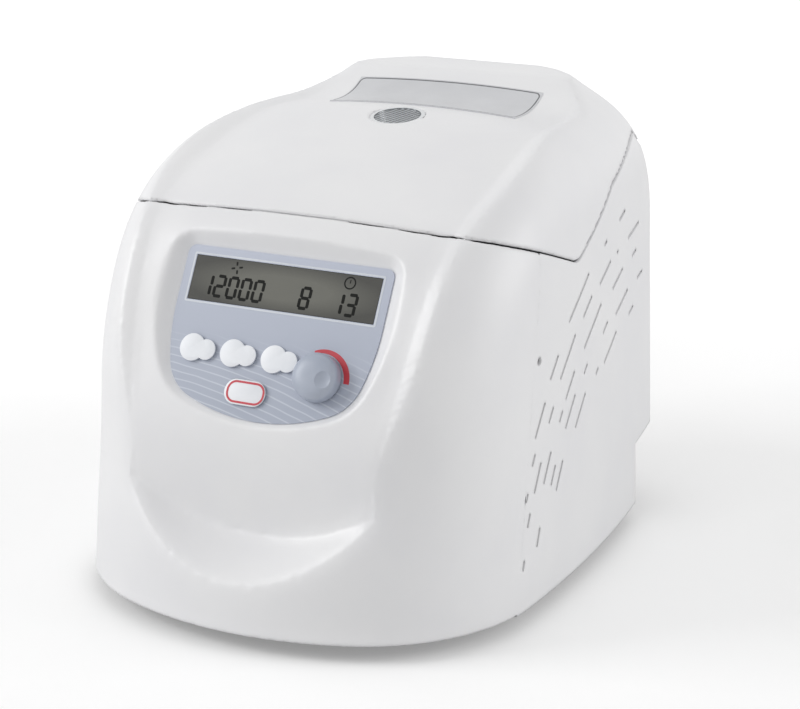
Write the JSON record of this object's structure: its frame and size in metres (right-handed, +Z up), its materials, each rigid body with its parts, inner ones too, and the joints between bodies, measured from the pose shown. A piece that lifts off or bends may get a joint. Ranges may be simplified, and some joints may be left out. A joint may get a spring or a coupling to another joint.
{
  "type": "hematocrit centrifuge",
  "caption": "Bench-top hematocrit centrifuge with a rear-hinged lid, a slotted capillary rotor, a leaning control panel with display, keys and dial, and side vents.",
  "frame": {"origin": "centre of the bounding box at the underside of the feet", "axes": "+Z up, +X to the right as the front is faced, -Y towards the front with the control panel"},
  "size_m": [0.28, 0.364, 0.282],
  "materials": {
    "white_shell": "satin moulded shell, fine even texture",
    "white_deck": "satin light grey moulding",
    "dark_plastic": "matt black moulding",
    "foot_rubber": "soft black rubber",
    "seal_rubber": "smooth dark rubber seal",
    "zinc_steel": "zinc plated steel",
    "ground_steel": "ground bright steel",
    "bowl_steel": "drawn stainless steel",
    "bright_rim": "bright plated rim",
    "clear_window": "clear ribbed window",
    "plate_film": "bare printed-film plate",
    "coil_black": "taped coil",
    "motor_alloy": "cast motor can",
    "rotor_alloy": "machined and anodised",
    "capillary_glass": "thin glass tube",
    "panel_film": "blue grey printed film",
    "display_glass": "grey green liquid crystal window",
    "key_white": "smooth white keys",
    "dial_blue": "blue grey satin dial",
    "board_green": "glass fibre board",
    "inlet_black": "black moulding",
    "pin_brass": "plated brass pins"
  },
  "bodies": {
    "chassis": {"housing": "white_shell", "base_plate": "dark_plastic", "rubber_feet": "foot_rubber", "foot_screws": "zinc_steel", "housing_screws": "zinc_steel", "top_deck": "white_deck", "bowl": "bowl_steel", "hinge_brackets": "zinc_steel", "hinge_pins": "ground_steel", "lock_case": "dark_plastic", "lock_solenoid": "coil_black", "lever_bracket": "zinc_steel", "motor_can": "motor_alloy", "motor_bracket": "zinc_steel", "motor_dampers": "foot_rubber", "motor_pillars": "zinc_steel", "control_overlay": "panel_film", "display_window": "display_glass", "display_module": "dark_plastic", "encoder": "zinc_steel", "control_board": "board_green", "button_switches": "dark_plastic", "main_board": "board_green", "board_standoffs": "zinc_steel", "power_inlet": "inlet_black", "inlet_pins": "pin_brass", "switch_frame": "inlet_black"},
    "lid": {"lid_shell": "white_shell", "lid_liner": "white_deck", "lid_gasket": "seal_rubber", "liner_screws": "zinc_steel", "window_lens": "clear_window", "window_ring": "bright_rim", "sight_tube": "dark_plastic", "lid_plate": "plate_film", "lid_striker": "zinc_steel"},
    "rotor": {"motor_shaft": "ground_steel", "rotor_plate": "rotor_alloy", "rotor_cushion": "seal_rubber", "capillary_tubes": "capillary_glass", "rotor_cover": "rotor_alloy"},
    "rotor_knob_body": {"rotor_knob": "dark_plastic"},
    "lock_bolt_body": {"lock_bolt": "ground_steel"},
    "release_lever_body": {"release_lever": "zinc_steel"},
    "release_rod_body": {"release_rod": "ground_steel"},
    "button_left_body": {"button_left": "key_white"},
    "button_middle_body": {"button_middle": "key_white"},
    "button_right_body": {"button_right": "key_white"},
    "start_button_body": {"start_button": "key_white"},
    "control_dial_body": {"control_dial": "dial_blue"},
    "fuse_drawer_body": {"fuse_drawer": "inlet_black"},
    "rocker_switch_body": {"rocker_switch": "inlet_black"}
  },
  "joints": [
    {"name": "lid_hinge", "type": "hinge", "parent": "chassis", "child": "lid", "pos_m": [0, 0.165, 0.247], "axis": [-1, 0, 0], "range_deg": [0, 70]},
    {"name": "rotor_spin", "type": "hinge", "parent": "chassis", "child": "rotor", "pos_m": [0, 0.035, 0.157], "axis": [0, 0, 1], "continuous": true},
    {"name": "rotor_knob_turn", "type": "hinge", "parent": "rotor", "child": "rotor_knob_body", "pos_m": [0, 0.035, 0.17], "axis": [0, 0, 1], "range_deg": [0, 350]},
    {"name": "dial_turn", "type": "hinge", "parent": "chassis", "child": "control_dial_body", "pos_m": [0.0355, -0.1294, 0.14882], "axis": [0, -0.8788, 0.4772], "continuous": true},
    {"name": "button_left_press", "type": "slide", "parent": "chassis", "child": "button_left_body", "axis": [0, 0.8788, -0.4772], "range_m": [0, 0.0008], "stiffness_N_per_m": 800, "springref_m": -0.0006},
    {"name": "button_middle_press", "type": "slide", "parent": "chassis", "child": "button_middle_body", "axis": [0, 0.8788, -0.4772], "range_m": [0, 0.0008], "stiffness_N_per_m": 800, "springref_m": -0.0006},
    {"name": "button_right_press", "type": "slide", "parent": "chassis", "child": "button_right_body", "axis": [0, 0.8788, -0.4772], "range_m": [0, 0.0008], "stiffness_N_per_m": 800, "springref_m": -0.0006},
    {"name": "start_button_press", "type": "slide", "parent": "chassis", "child": "start_button_body", "axis": [0, 0.8788, -0.4772], "range_m": [0, 0.0008], "stiffness_N_per_m": 800, "springref_m": -0.0006},
    {"name": "bolt_slide", "type": "slide", "parent": "chassis", "child": "lock_bolt_body", "axis": [-1, 0, 0], "range_m": [0, 0.006]},
    {"name": "lever_turn", "type": "hinge", "parent": "chassis", "child": "release_lever_body", "pos_m": [0.092, -0.065, 0.178], "axis": [0, -1, 0], "range_deg": [0, 17]},
    {"name": "rod_slide", "type": "slide", "parent": "chassis", "child": "release_rod_body", "axis": [1, 0, 0], "range_m": [0, 0.0073]},
    {"name": "drawer_slide", "type": "slide", "parent": "chassis", "child": "fuse_drawer_body", "axis": [0, 1, 0], "range_m": [0, 0.016]},
    {"name": "rocker_tip", "type": "hinge", "parent": "chassis", "child": "rocker_switch_body", "pos_m": [0.1135, 0.1215, 0.026], "axis": [-1, 0, 0], "range_deg": [0, 18]}
  ],
  "couplings": [
    {"joint": "lever_turn", "follows": "bolt_slide", "rad_per_m": 47.619},
    {"joint": "rod_slide", "follows": "bolt_slide", "ratio": 1.1905}
  ]
}
